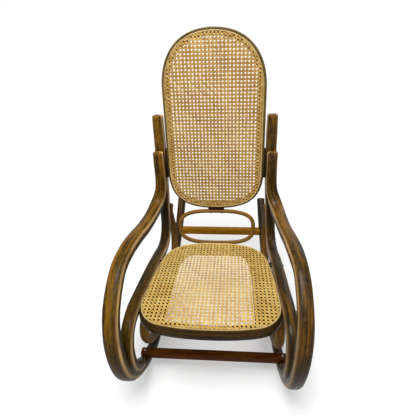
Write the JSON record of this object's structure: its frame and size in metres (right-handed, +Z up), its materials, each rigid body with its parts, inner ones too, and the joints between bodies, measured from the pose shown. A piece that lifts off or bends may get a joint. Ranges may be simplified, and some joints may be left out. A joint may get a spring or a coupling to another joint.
{
  "type": "rocking chair",
  "caption": "Bentwood rocking chair in dark walnut finish with cane seat, tall cane back, looped arms that run on into the rockers, inner scrolls and an oval brace ring.",
  "frame": {"origin": "bottom centre of the bounding box, on the floor at the chair's middle", "axes": "+Z up, the sitter faces -Y, +X on the right of someone who looks at the chair from in front; the chair stands in its rest pose, seat leaning back 11 degrees"},
  "size_m": [0.5646, 0.941, 1.0822],
  "materials": {
    "walnut": "polished, worn to amber on arms and curls",
    "red_walnut": "polished reddish brown",
    "amber_wood": "polished amber brown",
    "dark_wood": "dark stain, dull",
    "cane": "natural woven cane webbing, lightly shiny",
    "cane_spline": "natural reed spline, semi-matt",
    "screw_steel": "dull, aged steel"
  },
  "bodies": {
    "root": {"back_cane": "cane", "back_frame": "walnut", "back_spline": "cane_spline", "brace_foot_pad": "dark_wood", "brace_ring": "walnut", "brace_top_pad": "dark_wood", "front_stretcher": "red_walnut", "left_arm_lower_bolt": "screw_steel", "left_arm_rocker": "walnut", "left_arm_upper_bolt": "screw_steel", "left_back_lower_bolt": "screw_steel", "left_back_spacer": "dark_wood", "left_back_upper_bolt": "screw_steel", "left_back_upright": "walnut", "left_brace_foot_screw": "screw_steel", "left_brace_top_screw": "screw_steel", "left_curl_screw": "screw_steel", "left_rear_bar_bolt": "screw_steel", "left_rear_block": "amber_wood", "left_scroll": "walnut", "left_scroll_front_screw": "screw_steel", "left_scroll_middle_screw": "screw_steel", "left_scroll_rear_screw": "screw_steel", "left_seat_front_bolt": "screw_steel", "left_seat_rear_bolt": "screw_steel", "left_seat_sleeve": "dark_wood", "left_stretcher_screw": "screw_steel", "rear_bar": "amber_wood", "right_arm_lower_bolt": "screw_steel", "right_arm_rocker": "walnut", "right_arm_upper_bolt": "screw_steel", "right_back_lower_bolt": "screw_steel", "right_back_spacer": "dark_wood", "right_back_upper_bolt": "screw_steel", "right_back_upright": "walnut", "right_brace_foot_screw": "screw_steel", "right_brace_top_screw": "screw_steel", "right_curl_screw": "screw_steel", "right_rear_bar_bolt": "screw_steel", "right_rear_block": "amber_wood", "right_scroll": "walnut", "right_scroll_front_screw": "screw_steel", "right_scroll_middle_screw": "screw_steel", "right_scroll_rear_screw": "screw_steel", "right_seat_front_bolt": "screw_steel", "right_seat_rear_bolt": "screw_steel", "right_seat_sleeve": "dark_wood", "right_stretcher_screw": "screw_steel", "seat_cane": "cane", "seat_frame": "walnut", "seat_inner_rail": "walnut", "seat_spline": "cane_spline"}
  },
  "joints": []
}
